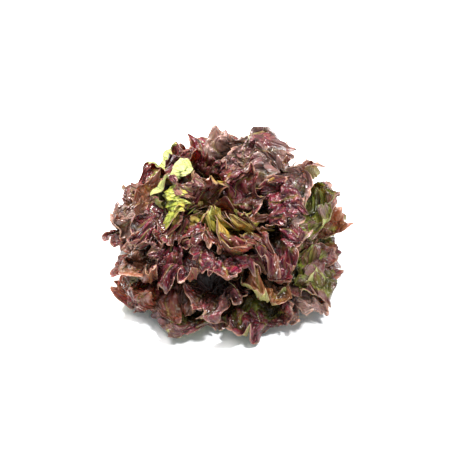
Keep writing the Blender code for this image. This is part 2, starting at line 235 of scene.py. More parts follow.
def stem_skin():
    """Pale green rind with ridged leaf scars, and a cut face that has rusted a little at its rim."""
    skin = Skin("stem", roughness=0.45)
    blotches = skin.noise(0.006, detail=3.0)
    colour = skin.mix(RIND, FLESH, skin.step(blotches, 0.35, 0.65))
    rust = skin.weighed((skin.fact("cut"), 0.5), (skin.fact("out"), 0.35), (skin.noise(0.003), 0.4))
    colour = skin.mix(colour, RUST, skin.step(rust, 0.75, 1.15))
    skin.paint(colour, glow=0.2, glow_depths=(0.004, 0.003, 0.0015))
    skin.bump(skin.weighed((blotches, 0.6), (skin.noise(0.0012), 0.4)), 0.0006)
    return skin.material


def fine_stem():
    """Rings of points up the stem from the middle of its cut face, with its faces and facts."""
    angles = np.linspace(0.0, 2 * math.pi, STEM_SIDES, endpoint=False)
    circle = np.stack([np.cos(angles), np.sin(angles), np.zeros(STEM_SIDES)], axis=-1)
    heights = np.concatenate([np.zeros(CUT_RINGS), np.linspace(0.0, STEM_TOP, STEM_RINGS)])
    widths = np.concatenate([np.linspace(*CUT_RING_WIDTHS, CUT_RINGS), np.ones(STEM_RINGS)])
    points, flat = [], []
    for height, width in zip(heights, widths):
        scars = np.sin(SCAR_TURNS * angles + 2 * math.pi * height / SCAR_PITCH)
        radius = width * stem_radius(height) - SCAR_DEPTH * (1.0 + scars) * (height > 0.0)
        point, turn = axis_frame(height)
        points.append((circle * radius[:, None]) @ turn.T + point)
        pattern_height = np.full(STEM_SIDES, height + width * CUT_PATTERN_HEIGHT)
        flat.append(np.stack([angles * STEM_BASE_RADIUS, pattern_height], axis=-1))
    tip = axis_frame(STEM_TOP + STEM_TIP_BULGE)[0]
    points = np.concatenate(points + [[[0.0, 0.0, 0.0], tip]])
    flat = np.concatenate(flat + [[[0.0, 0.0], [0.0, STEM_TOP]]])
    low = np.arange((len(heights) - 1) * STEM_SIDES).reshape(-1, STEM_SIDES)
    after = np.roll(low, -1, axis=1)
    sides = np.stack([low, after, after + STEM_SIDES, low + STEM_SIDES], axis=-1).reshape(-1, 4)
    middle, top = len(points) - 2, len(points) - 1
    last = low[-1] + STEM_SIDES
    bottom = [(middle, int(b), int(a)) for a, b in zip(low[0], after[0])]
    crown = [(int(a), int(b), top) for a, b in zip(last, np.roll(last, -1))]
    cut = np.concatenate([np.repeat(heights == 0.0, STEM_SIDES), [True, False]])
    out = np.concatenate([np.repeat(widths, STEM_SIDES), [0.0, 0.0]])
    return points, sides.tolist() + bottom + crown, flat, {"cut": cut, "out": out}


def add_piece(name, points, faces, flat, facts):
    """A smooth object at the origin, with the facts that its colours depend on."""
    mesh = bpy.data.meshes.new(name)
    mesh.from_pydata(points.tolist(), [], faces)
    for fact, values in facts.items():
        attribute = mesh.attributes.new(fact, "FLOAT", "POINT")
        attribute.data.foreach_set("value", values.astype(np.float32))
    layer = mesh.uv_layers.new(name="flat")
    corners = np.concatenate([flat[list(face)] for face in faces])
    layer.data.foreach_set("uv", corners.astype(np.float32).reshape(-1))
    mesh.shade_smooth()
    mesh.update()
    piece = bpy.data.objects.new(name, mesh)
    bpy.context.scene.collection.objects.link(piece)
    return piece


stem = add_piece("stem_fine", *fine_stem())
stem.data.materials.append(stem_skin())
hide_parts("stem")
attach(stem, "root")


# The leaves nest like cups in a stack. Rank 0 is the leaf at the heart and rank 1 the outermost one.
# Each leaf lies on its own flared cup round the stem's axis, and all the cups share their large
# folds, so that the leaves stay nested.
SEED = 86
LEAF_COUNT = 45
HEART_LEAVES = 14
MIDDLE_LEAVES = 14
GOLDEN_TURN = 137.508
FIRST_TURN = 20.0
HEADING_SPREAD = 6.0
ROOT_GAP = 0.0021
HEART_LEAF_LENGTH = 0.052
OUTER_LEAF_LENGTH = 0.140
LENGTH_GROWTH = 0.5
LONGEST_LEAF = 0.15
HEART_WIDTH = 0.7
FULL_WIDTH_RANK = 0.4
HEART_FLARE = (2.0, 42.0)
OUTER_FLARE = (64.0, 156.0)
FLARE_SHARE = 0.62
FLARE_POWER = 1.5
CUP_REACH = 1.2 * LONGEST_LEAF
CUP_STEPS = 181
WIDEST_WRAP = 1.35
# Each shared fold: how many go round, their height, and their turns along a leaf and by rank.
SHARED_FOLDS = ((3, 0.013, 0.5, 3.0), (5, 0.011, -0.9, -4.0), (8, 0.005, 1.3, 5.0))
FOLD_GROWTH = 1.4
# Each bend: its wavelength and its size.
HEAD_BENDS = ((0.16, 0.006), (0.095, 0.0042), (0.06, 0.0024))
STILL_POINT = (0.0, 0.0, 0.02)
STILL_RADII = (0.015, 0.09)
FLOOR_EASE = 0.012
FLOOR_CLEARANCE = 0.0006
PRESSED_RADII = (0.03, 0.06)


def root_height(rank):
    return between(STEM_LENGTH, LOWEST_ROOT, rank)


def cup_profile(rank):
    """Distance along the cup from its root, with radius, height and angle off the axis."""
    along = np.linspace(0.0, CUP_REACH, CUP_STEPS)
    share = rank**FLARE_SHARE
    start = math.radians(between(HEART_FLARE[0], OUTER_FLARE[0], share))
    end = math.radians(between(HEART_FLARE[1], OUTER_FLARE[1], share))
    angle = start + (end - start) * (along / LONGEST_LEAF) ** FLARE_POWER
    step = np.diff(along)
    sines = (np.sin(angle[1:]) + np.sin(angle[:-1])) / 2 * step
    cosines = (np.cos(angle[1:]) + np.cos(angle[:-1])) / 2 * step
    radius = stem_radius(root_height(rank)) + ROOT_GAP + np.concatenate([[0.0], np.cumsum(sines)])
    height = np.concatenate([[0.0], np.cumsum(cosines)])
    return along, radius, height, angle


def on_cup(rank, along, azimuth, lift):
    """Points of a cup, raised by lift towards its inside."""
    places, *columns = cup_profile(rank)
    radius, height, angle = (np.interp(along, places, column) for column in columns)
    radius = radius - lift * np.cos(angle)
    height = height + lift * np.sin(angle)
    local = np.stack([radius * np.cos(azimuth), radius * np.sin(azimuth), height], axis=-1)
    point, turn = axis_frame(root_height(rank))
    return local @ turn.T + point


def shared_folds(rank, along, azimuth):
    """Lift of the folds that nested leaves have in common, so that they stay nested."""
    rng = np.random.default_rng(SEED)
    grow = (along / LONGEST_LEAF) ** FOLD_GROWTH
    lift = np.zeros_like(along)
    for count, size, repeats, turn in SHARED_FOLDS:
        start = rng.uniform(0, 2 * math.pi) + turn * rank
        wave = count * azimuth + repeats * 2 * math.pi * along / LONGEST_LEAF + start
        lift += size * grow * np.sin(wave)
    return lift


def bent_space(points, seed, still_radii, bends):
    """Moves points by gentle waves of space, which keep nested leaves apart. The stem stays still."""
    rng = np.random.default_rng(seed)
    away = smooth_step(*still_radii, np.linalg.norm(points - STILL_POINT, axis=-1))
    moved = points.copy()
    for wavelength, size in bends:
        for axis in range(3):
            direction = rng.normal(size=3)
            direction /= np.linalg.norm(direction)
            phase = rng.uniform(0, 2 * math.pi)
            wave = points @ direction * (2 * math.pi / wavelength) + phase
            moved[..., axis] += size * away * np.sin(wave)
    return moved


def settled(points):
    """Leaves that would sink below the surface are pressed flat on it instead."""
    height = points[..., 2]
    pressed = FLOOR_EASE * np.exp(np.minimum(height - FLOOR_EASE, 0.0) / FLOOR_EASE)
    share = smooth_step(*PRESSED_RADII, np.hypot(points[..., 0], points[..., 1]))
    eased = np.where(height < FLOOR_EASE, pressed + FLOOR_CLEARANCE, height)
    moved = points.copy()
    moved[..., 2] = between(height, eased, share)
    return moved


# A leaf is one thin blade on a midrib. It has four rounded lobes on each side, the lowest of them
# small, and one at its end. Each lobe is bent, cupped and curled as far as its neighbours leave it room.
KNOTS = np.array([0.0, 0.14, 0.22, 0.3, 0.39, 0.48, 0.57, 0.66, 0.75, 0.85, 1.0])
LOBES_BEHIND = np.array([-1.3, -0.5, 0.0, 0.5, 1.0, 1.5, 2.0, 2.5, 3.0, 3.5, 4.0])
VEIN_ROOT = np.array([0.0, 0.19, 0.255, 0.32, 0.385, 0.445, 0.505, 0.56, 0.61, 0.65, 0.65])
VEIN_SLANT = np.array([90.0, 90.0, 89.0, 86.0, 80.0, 72.0, 63.0, 52.0, 39.0, 24.0, 0.0])
VEIN_REACH = np.array([0.035, 0.05, 0.12, 0.2, 0.29, 0.34, 0.37, 0.375, 0.375, 0.365, 0.36])
LOBE_CENTRES = np.array([0.22, 0.39, 0.57, 0.75, 1.0])
END_LOBE = len(LOBE_CENTRES) - 1
END_LOBE_START = 0.85
STALK_END = (0.08, 0.2)
CUT_POWER = 2.5
LOBE_FAN = 10.0
ROOT_ROOM = 0.0003
ROOM_GAIN = 0.13
MOST_ROOM = 0.3
LENGTH_SPREAD = (0.92, 1.08)
WIDTH_SPREAD = (0.98, 1.14)
# Leaves that grew longer or shorter than others of their age.
GROWN = {
    9: 0.94, 17: 1.12, 25: 1.15, 27: 1.1, 31: 0.9, 33: 1.05,
    35: 1.1, 39: 0.92, 40: 0.94, 42: 0.92, 44: 0.86,
}
CUT_DEPTH = (0.45, 0.6)
DRIFT = (-0.25, 0.25)
LOBE_BEND = (-0.9, 0.9)
LOBE_CUP = (-0.2, 1.8)
LOBE_TWIST = (-0.8, 0.8)
LOBE_SIZE = (0.85, 1.15)
LOBE_CURL = (-1.0, 3.2)
CURL_START = 0.58
SPOON_RIM = 0.6
SPOON_FLANK = 0.15
SPOON_FLOOR = 0.3
TWIST_GAIN = 1.2
RIPPLE_SIZE = 0.25
RIPPLE_LENGTH = 0.06
SOLID_STATIONS = np.concatenate(
    [[0.0, 0.08], np.linspace(0.14, 0.3, 3), np.linspace(0.345, 0.85, 12), np.linspace(0.9, 1.0, 3)]
)
SOLID_LEVELS = np.array([0.0, 0.6, 1.0])
SOLID_THICKNESS = 0.0008
SOLID_MIDRIB = 0.0022
MIDRIB_TAPER = 0.7
LEAF_CLEARANCE = 0.0002
SHARED_BLAME = 0.5
CALMING = 0.8
SHRINKING = 0.97
CALM_ROUNDS = 12
MOST_ROUNDS = 40


class LeafPlan:
    """What makes each leaf itself: its rank, heading and size, and how each lobe is bent."""

    def __init__(self, number):
        rng = np.random.default_rng(SEED * 1000 + number)
        self.number = number
        self.rank = number / (LEAF_COUNT - 1)
        turn = FIRST_TURN + GOLDEN_TURN * number + rng.uniform(-HEADING_SPREAD, HEADING_SPREAD)
        self.heading = math.radians(turn)
        usual_length = between(HEART_LEAF_LENGTH, OUTER_LEAF_LENGTH, self.rank**LENGTH_GROWTH)
        self.length = usual_length * rng.uniform(*LENGTH_SPREAD) * GROWN.get(number + 1, 1.0)
        usual_width = between(HEART_WIDTH, 1.0, smooth_step(0.0, FULL_WIDTH_RANK, self.rank))
        self.width = usual_width * rng.uniform(*WIDTH_SPREAD)
        self.cut_depth = rng.uniform(*CUT_DEPTH)
        self.drift = rng.uniform(*DRIFT)
        self.ripple_start = rng.uniform(0, 2 * math.pi)
        # One value for each lobe, from the root to the tip, in a row for each side of the midrib.
        lobes = (2, len(LOBE_CENTRES))
        self.lobe_bend = rng.uniform(*LOBE_BEND, lobes)
        self.lobe_cup = rng.uniform(*LOBE_CUP, lobes)
        self.lobe_twist = rng.uniform(*LOBE_TWIST, lobes)
        self.lobe_size = rng.uniform(*LOBE_SIZE, lobes)
        self.lobe_curl = rng.uniform(*LOBE_CURL, lobes)
        # Both sides share the end lobe.
        for values in (self.lobe_bend, self.lobe_cup, self.lobe_size, self.lobe_curl):
            values[1, END_LOBE] = values[0, END_LOBE]
        self.lobe_twist[:, END_LOBE] = 0.0
        self.liveliness = np.ones(lobes)


def of_lobe(values, u, s):
    """A leaf's lobe values, blended along each side."""
    left = np.interp(u, LOBE_CENTRES, values[0])
    right = np.interp(u, LOBE_CENTRES, values[1])
    return np.where(np.less(s, 0), right, left)


def lobe_offset(u):
    """0 at the middle of a lobe, -1 and 1 at the cuts on either side of it."""
    behind = np.interp(u, KNOTS, LOBES_BEHIND)
    return 2.0 * (behind - np.round(behind))


def lobe_reach(plan, u, s, cut_power=CUT_POWER):
    """How far the rim lies from the midrib along each side vein, as a share of the leaf's length."""
    lobed = smooth_step(*STALK_END, u)
    cut = plan.cut_depth * np.abs(lobe_offset(u)) ** cut_power * lobed
    return np.interp(u, KNOTS, VEIN_REACH) * plan.width * of_lobe(plan.lobe_size, u, s) * (1.0 - cut)


def vein_slant(u, s):
    """Angle of a side vein from the midrib, which fans out within each lobe."""
    across = lobe_offset(u)
    lobed = smooth_step(*STALK_END, u)
    fan = LOBE_FAN * across * (1.0 - across**2) * lobed * s**2
    return np.radians(np.interp(u, KNOTS, VEIN_SLANT) - fan)


def lobe_curl(plan, u, s):
    """Angle that the end of each lobe turns through."""
    return of_lobe(plan.lobe_curl, u, s) * of_lobe(plan.liveliness, u, s)


def flat_place(plan, u, s):
    """Place along and across the leaf, and the lift of its lobe's curl, as shares of its length."""
    reach = lobe_reach(plan, u, s)
    flat = CURL_START * reach
    beyond = np.maximum(reach * np.abs(s) - flat, 0.0)
    angle = lobe_curl(plan, u, s) * beyond / (reach - flat)
    run = np.minimum(reach * np.abs(s), flat) + beyond * np.sinc(angle / math.pi)
    rise = beyond * np.sin(angle / 2) * np.sinc(angle / 2 / math.pi)
    slant = vein_slant(u, s)
    root = np.interp(u, KNOTS, VEIN_ROOT)
    return root + run * np.cos(slant), np.sign(s) * run * np.sin(slant), rise


def own_waves(plan, u, s):
    """The leaf's own waves, from about -1 to 1: lobes that are bent, twisted and cupped like spoons."""
    out = np.abs(s)
    across = lobe_offset(u)
    flank = across**2
    cup = of_lobe(plan.lobe_cup, u, s)
    lift = of_lobe(plan.lobe_bend, u, s) * out**3
    lift += cup * (SPOON_RIM * out**5 + SPOON_FLANK * out**3 * flank - SPOON_FLOOR * out**2)
    lift += of_lobe(plan.lobe_twist, u, s) * TWIST_GAIN * across * (1.0 - flank) * out**2
    return lift * of_lobe(plan.liveliness, u, s)


def wave_room(plan, along):
    ring = np.interp(along, *cup_profile(plan.rank)[:2])
    return np.minimum(ROOT_ROOM + ROOM_GAIN * along, MOST_ROOM * ring)


def own_lift(plan, u, s, along):
    """How far the leaf's own waves raise it above its cup."""
    lively = (of_lobe(plan.liveliness, u, 1) + of_lobe(plan.liveliness, u, -1)) / 2
    ripple = RIPPLE_SIZE * lively * np.sin(along / RIPPLE_LENGTH * 2 * math.pi + plan.ripple_start)
    return wave_room(plan, along) * (own_waves(plan, u, s) + ripple)


def in_head(plan, along, sideways, lift):
    """Carries points from the leaf's flat frame to their place in the head."""
    ring = np.interp(along, *cup_profile(plan.rank)[:2])
    middle = plan.heading + plan.drift * (along / LONGEST_LEAF) ** 2
    azimuth = middle + WIDEST_WRAP * np.tanh(sideways / ring / WIDEST_WRAP)
    raised = lift + shared_folds(plan.rank, along, azimuth)
    points = on_cup(plan.rank, along, azimuth, raised)
    return bent_space(points, SEED, STILL_RADII, HEAD_BENDS)


def leaf_surface(plan, u, s, extra_lift=0.0):
    """The middle surface of the solid leaf, for arrays of u and s."""
    x, y, rise = (part * plan.length for part in flat_place(plan, u, s))
    lift = own_lift(plan, u, s, x) + rise
    return settled(in_head(plan, x, y, lift + extra_lift))


def vertex_normals(points, faces):
    corner = points[faces]
    face_normal = np.cross(corner[:, 1] - corner[:, 0], corner[:, 2] - corner[:, 0])
    normals = np.zeros_like(points)
    for column in range(3):
        np.add.at(normals, faces[:, column], face_normal)
    return normals / np.maximum(np.linalg.norm(normals, axis=1, keepdims=True), 1e-12)


def leaf_grid(stations, levels):
    """u, s and point numbers of a leaf's grid, with its triangles.

    Both sides share the last row, and all the veins of the end lobe start from one point of the midrib.
    """
    across = np.concatenate([-levels[::-1], levels[1:]])
    u, s = np.meshgrid(stations, across, indexing="ij")
    rows, columns = u.shape
    middle = columns // 2
    index = np.arange(rows * columns).reshape(rows, columns)
    index[-1, :middle] = index[-1, :middle:-1]
    end_lobe = stations >= END_LOBE_START - 1e-6
    index[end_lobe, middle] = index[end_lobe, middle][0]
    a, b = index[:-1, :-1], index[:-1, 1:]
    c, d = index[1:, 1:], index[1:, :-1]
    left = np.broadcast_to(np.arange(columns - 1) < middle, a.shape)
    first = np.where(left[..., None], np.stack([a, c, b], -1), np.stack([a, d, b], -1))
    second = np.where(left[..., None], np.stack([a, d, c], -1), np.stack([b, d, c], -1))
    faces = np.stack([first, second], axis=2).reshape(-1, 3)
    whole = (faces[:, 0] != faces[:, 1]) & (faces[:, 1] != faces[:, 2]) & (faces[:, 0] != faces[:, 2])
    used, faces = np.unique(faces[whole], return_inverse=True)
    return u.reshape(-1)[used], s.reshape(-1)[used], np.searchsorted(used, index), faces.reshape(-1, 3)


SOLID_U, SOLID_S, SOLID_INDEX, SOLID_FACES = leaf_grid(SOLID_STATIONS, SOLID_LEVELS)


def rim_faces(index, count):
    """Faces round the rim that close the upper and the under face of a blade."""
    edge = np.concatenate([index[0, ::-1], index[1:, 0], index[-2:0:-1, -1]])
    after = np.roll(edge, -1)
    return np.concatenate(
        [np.stack([edge, edge + count, after + count], -1), np.stack([edge, after + count, after], -1)]
    )


SOLID_BLADE_FACES = np.concatenate(
    [SOLID_FACES, SOLID_FACES[:, ::-1] + len(SOLID_U), rim_faces(SOLID_INDEX, len(SOLID_U))]
)


def solid_blade(plan, spare):
    points = leaf_surface(plan, SOLID_U, SOLID_S)
    normals = vertex_normals(points, SOLID_FACES)
    rib = np.where(SOLID_S == 0.0, (1.0 - SOLID_U) ** MIDRIB_TAPER, 0.0)
    half = SOLID_THICKNESS / 2 + spare
    above = points + normals * half
    below = points - normals * (half + (SOLID_MIDRIB - SOLID_THICKNESS) * rib)[:, None]
    return np.concatenate([above, below])


def touched_lobes(face_numbers):
    """Sides and lobes that shape these faces of a blade."""
    corners = SOLID_BLADE_FACES[sorted(face_numbers)] % len(SOLID_U)
    middles = SOLID_U[corners].mean(axis=1)
    near = np.abs(middles[:, None] - LOBE_CENTRES) < LOBE_CENTRES[1] - LOBE_CENTRES[0]
    right = SOLID_S[corners].mean(axis=1) < 0
    found = set()
    for side in (0, 1):
        found |= {(side, lobe) for lobe in np.flatnonzero(near[right == (side == 1)].any(axis=0))}
    if (0, END_LOBE) in found or (1, END_LOBE) in found:
        found |= {(0, END_LOBE), (1, END_LOBE)}
    return found


def blade_tree(points):
    return BVHTree.FromPolygons(points.tolist(), SOLID_BLADE_FACES.tolist())


def faces_crossing_own_blade(points):
    """Faces of a blade that cross another of its own faces, leaving out those that share a corner."""
    tree = blade_tree(points)
    pairs = np.array(tree.overlap(tree))
    if not len(pairs):
        return set()
    one, other = SOLID_BLADE_FACES[pairs[:, 0]], SOLID_BLADE_FACES[pairs[:, 1]]
    shared = (one[:, :, None] == other[:, None, :]).any(axis=(1, 2))
    return set(pairs[~shared].reshape(-1))


def face_lifts(plan):
    along, _, rise = (part * plan.length for part in flat_place(plan, SOLID_U, SOLID_S))
    lift = own_lift(plan, SOLID_U, SOLID_S, along) + rise
    return lift[SOLID_BLADE_FACES % len(SOLID_U)].mean(axis=1)


def calm_touching_lobes(plans):
    """Flattens lobes that touch a leaf, and later shrinks them, until all the leaves clear."""
    blades = [solid_blade(plan, LEAF_CLEARANCE) for plan in plans]
    for trial in range(MOST_ROUNDS):
        trees = [blade_tree(blade) for blade in blades]
        touched = [
            faces_crossing_own_blade(solid_blade(plan, 0.0)) | faces_crossing_own_blade(blade)
            for plan, blade in zip(plans, blades)
        ]
        lifts = [face_lifts(plan) for plan in plans]
        for first, tree in enumerate(trees):
            for second in range(first + 1, len(trees)):
                for one, other in tree.overlap(trees[second]):
                    sinks = max(-lifts[first][one], 0.0)
                    rises = max(lifts[second][other], 0.0)
                    most = max(sinks, rises)
                    if sinks >= SHARED_BLAME * most:
                        touched[first].add(one)
                    if rises >= SHARED_BLAME * most:
                        touched[second].add(other)
        for number, face_numbers in enumerate(touched):
            if face_numbers:
                for side, lobe in touched_lobes(face_numbers):
                    plans[number].liveliness[side, lobe] *= CALMING
                    if trial >= CALM_ROUNDS:
                        plans[number].lobe_size[side, lobe] *= SHRINKING
                blades[number] = solid_blade(plans[number], LEAF_CLEARANCE)
        if not any(touched):
            break
    return blades


plans = [LeafPlan(number) for number in range(LEAF_COUNT)]
solid_blades = calm_touching_lobes(plans)


# A leaf's rim is frilled where it has open space and lies flat where another leaf covers it.
# So the free space above and below each leaf is measured, and how much open sky each part of it sees.
FREE_STATIONS = np.concatenate([np.linspace(0.0, 0.8, 15), np.linspace(0.84, 1.0, 6)])
FREE_LEVELS = np.linspace(-1.0, 1.0, 13)
NORMAL_STEP = 0.001
RAY_START = 0.0014
FAR = 0.03
SKY_FAR = 0.07
SKY_RAYS = 12
SKY_LEAN = 1.2

all_blades = BVHTree.FromPolygons(
    np.concatenate(solid_blades).tolist(),
    np.concatenate([SOLID_BLADE_FACES + 2 * len(SOLID_U) * n for n in range(LEAF_COUNT)]).tolist(),
)


def free_space(plan):
    """Distances to the next leaf above and below, and the share of sky seen from the upper face."""
    u, s = np.meshgrid(FREE_STATIONS, FREE_LEVELS, indexing="ij")
    points = leaf_surface(plan, u, s)
    up = leaf_surface(plan, u, s, NORMAL_STEP) - points
    up /= np.linalg.norm(up, axis=-1, keepdims=True)
    rng = np.random.default_rng(SEED + plan.number)
    fan = rng.normal(size=(SKY_RAYS, 3))
    fan /= np.linalg.norm(fan, axis=1, keepdims=True)
    above, below, sky_share = np.zeros((3, *u.shape))
    for place in np.ndindex(u.shape):
        point, normal = Vector(points[place]), Vector(up[place])
        for store, way in ((above, normal), (below, -normal)):
            distance = all_blades.ray_cast(point + way * RAY_START, way, FAR)[3]
            store[place] = FAR if distance is None else distance + RAY_START
        for ray in fan:
            way = (normal * SKY_LEAN + Vector(ray)).normalized()
            hit = all_blades.ray_cast(point + way * RAY_START, way, SKY_FAR)[3]
            sky_share[place] += (hit is None) / SKY_RAYS
    return above, below, sky_share


# A leaf's blade is one closed skin of thin tissue, drawn on a grid of rows, each of them along a side
# vein, and of levels from the midrib out to the rim. Rows and levels crowd where the leaf is frilled.
ROWS_BY_WALK = 0.8
RIM_CROWDING = 1.6
MIDRIB_LEVEL = 0.03
WALK_STEPS = 2001
PLAIN_CUT_DEPTH = 0.55
ROUND_CUT_POWER = 3.3


def rim_walk(plan, stations, side):
    """Distance walked along the rim from the root, at each station."""
    reach = lobe_reach(plan, stations, side, ROUND_CUT_POWER)
    slant = vein_slant(stations, side)
    x = np.interp(stations, KNOTS, VEIN_ROOT) + reach * np.cos(slant)
    steps = np.hypot(np.diff(x), np.diff(reach * np.sin(slant))) * plan.length
    return np.concatenate([[0.0], np.cumsum(steps)])


def walk_stations(rows):
    """Stations spread evenly along the rim of a plain leaf, so that its rim is drawn evenly."""
    plain = LeafPlan(0)
    plain.width, plain.cut_depth = 1.0, PLAIN_CUT_DEPTH
    plain.lobe_size = np.ones_like(plain.lobe_size)
    u = np.linspace(0.0, 1.0, WALK_STEPS)
    walk = rim_walk(plain, u, 1.0)
    walk = ROWS_BY_WALK * walk / walk[-1] + (1.0 - ROWS_BY_WALK) * u
    stations = np.interp(np.linspace(0.0, 1.0, rows), walk, u)
    stations[np.argmin(np.abs(stations - END_LOBE_START))] = END_LOBE_START
    return stations


def rim_levels(columns):
    """Levels from the midrib to the rim, closer together towards the rim."""
    levels = 1.0 - (1.0 - np.linspace(0.0, 1.0, columns)) ** RIM_CROWDING
    levels[1] = MIDRIB_LEVEL
    return levels


def spread_weights(coarse, fine):
    """Linear weights that carry values from coarse positions to fine ones."""
    return np.stack([np.interp(fine, coarse, row) for row in np.eye(len(coarse))], axis=-1)


class FineGrid:
    """The grid that all fine leaves of one kind share."""

    def __init__(self, rows, columns):
        self.stations = walk_stations(rows)
        self.u, self.s, index, self.faces = leaf_grid(self.stations, rim_levels(columns))
        count = len(self.u)
        self.blade_faces = np.concatenate(
            [self.faces, self.faces[:, ::-1] + count, rim_faces(index, count)]
        )
        self.row_weights = spread_weights(FREE_STATIONS, self.u)
        self.column_weights = spread_weights(FREE_LEVELS, self.s)

    def from_coarse(self, values):
        return np.einsum("pi,ij,pj->p", self.row_weights, values, self.column_weights)


# Each lobe has its own gesture: cupped or hooded, tossed up, twisted, curled at its end, or drooping
# where nothing holds it. It takes as much of it as the free space allows.
SMALLEST_SCALE = 0.45
# Leaves whose relief is weaker than the rest's, and the share that they keep of it.
CALMER = {15: 0.4, 22: 0.3, 28: 0.4, 37: 0.5, 39: 0.5}
DEEP_SHARE = 0.5
FREE_ROOM = (0.003, 0.012)
HEART_RANK = 0.5
CURLED_DOWN = (-0.7, -2.0)
CURLED_UP = (0.5, 1.3)
DOWNWARD_SHARE = 0.3
TOSS_SIZE = 0.008
TOSS_START = 0.3
HOODED_SHARE = 0.4
CUP_SIZE = 0.016
HOOD_SIZE = 0.013
HOOD_REACH = 1.1
TWIST_SIZE = 0.004
DROOP_SIZE = 0.022
DROOP_ROOM = (0.008, 0.025)
DROOP_ALONG = (0.3, 0.8)
DROOP_SHARE = (-0.5, 1.0)


class BladePlaces:
    """Where each point of a fine blade lies on its leaf, and how free it is to move."""

    def __init__(self, plan, grid):
        self.u, self.s = grid.u, grid.s
        self.out = np.abs(grid.s)
        self.across = lobe_offset(grid.u)
        self.lobed = smooth_step(*STALK_END, grid.u)
        self.slant = vein_slant(grid.u, grid.s)
        self.above, self.below, self.sky = (grid.from_coarse(values) for values in free_space(plan))
        self.free = smooth_step(*FREE_ROOM, self.above)
        self.scale = np.clip(plan.length / OUTER_LEAF_LENGTH, SMALLEST_SCALE, 1.0)
        self.liveliness = CALMER.get(plan.number + 1, 1.0)
        self.depth = between(self.scale, 1.0, DEEP_SHARE) * self.liveliness
        self.young = 1.0 - smooth_step(0.0, HEART_RANK, plan.rank)


def lobe_gestures(places, rng):
    """How far each lobe is cupped, tossed, twisted, curled and drooping, at each point."""
    drawn = rng.uniform(-1.0, 1.0, (5, 2, len(LOBE_CENTRES)))
    drawn[:, 1, END_LOBE] = drawn[:, 0, END_LOBE]
    most = np.abs(drawn[3])
    downward = drawn[3] < DOWNWARD_SHARE
    drawn[3] = np.where(downward, between(*CURLED_DOWN, most), between(*CURLED_UP, most))
    return [of_lobe(values, places.u, places.s) for values in drawn]


def lobe_lift(places, cup, toss, twist, droop, along):
    """How far the gestures raise each point, and how far it hangs where nothing holds it."""
    out = places.out
    hump = np.sin(math.pi * np.clip(out * HOOD_REACH, 0, 1)) ** 2
    cupped = np.maximum(cup - HOODED_SHARE, 0.0) * CUP_SIZE * out**4
    hooded = np.maximum(HOODED_SHARE - cup, 0.0) * HOOD_SIZE * (1.0 - places.across**2) * hump
    twisted = TWIST_SIZE * np.abs(twist) * (1.0 + np.sign(twist) * places.across) / 2.0 * out**2
    tossed = (toss + 1.0) / 2.0 * TOSS_SIZE * smooth_step(TOSS_START, 1.0, out)
    hanging = smooth_step(*DROOP_ROOM, places.below) * smooth_step(*DROOP_ALONG, along)
    drooped = DROOP_SIZE * hanging * smooth_step(*DROOP_SHARE, droop) * out**2
    return tossed + cupped + hooded + twisted - drooped


# The rim waves up and down in frills, its edge is cut in small scallops, and it rolls over here and
# there. The waves are counted along the rim from the leaf's tip.
FRILL_START = 0.45
FRILL_POWER = 1.3
FRILL_SIZE = 0.0028
FRILL_LENGTH = 0.023
HEART_FRILL = 0.9
SCALLOP_SIZE = 0.0011
SCALLOP_LENGTH = 0.0125
RIM_ROLL = 0.9
RIM_ROLL_BIAS = -0.1
RIM_ROLL_START = 0.88
RIM_ROLL_LENGTH = 0.037
WANDER = 0.6
WANDER_LENGTH = 0.053
CURL_STEPS = 61


def walk_to_tip(plan, grid):
    """Distance along the rim from each point's vein to the tip, counted below zero on one side."""
    walks = [rim_walk(plan, grid.stations, side) for side in (1, -1)]
    left, right = (walk[-1] - np.interp(grid.u, grid.stations, walk) for walk in walks)
    return np.where(grid.s < 0, -right, left)


def rim_waves(walk, rng):
    """Frills, scallops and rolls at each distance along the rim, from about -1 to 1."""
    starts = rng.uniform(0, 2 * math.pi, 4)
    turns = 2 * math.pi * walk
    wander = WANDER * np.sin(turns / WANDER_LENGTH + starts[0])
    frill = np.sin(turns / FRILL_LENGTH + 2.0 * wander + starts[1])
    scallop = np.sin(turns / SCALLOP_LENGTH + wander + starts[2])
    roll = RIM_ROLL_BIAS + np.sin(turns / RIM_ROLL_LENGTH + starts[3])
    return frill, scallop, roll


def sums_along(values):
    """Running sums of neighbouring pairs along each row, from 0."""
    pairs = np.cumsum(values[:, 1:] + values[:, :-1], axis=1)
    return np.concatenate([np.zeros((len(values), 1)), pairs], axis=1)


def fine_curl(plan, grid, free_curl, rim_roll):
    """How far out and up each point comes, when its lobe's end curls and its rim rolls."""
    levels = np.linspace(0.0, 1.0, CURL_STEPS)
    bend = np.clip((levels - CURL_START) / (1.0 - CURL_START), 0.0, 1.0)
    angle = (lobe_curl(plan, grid.u, grid.s) + free_curl)[:, None] * bend
    angle += rim_roll[:, None] * smooth_step(RIM_ROLL_START, 1.0, levels)
    step = levels[1] - levels[0]
    place = np.abs(grid.s) / step
    low = np.minimum(place.astype(int), len(levels) - 2)
    share = place - low
    rows = np.arange(len(grid.u))
    sums = sums_along(np.cos(angle)), sums_along(np.sin(angle))
    return [between(total[rows, low], total[rows, low + 1], share) * step / 2 for total in sums]


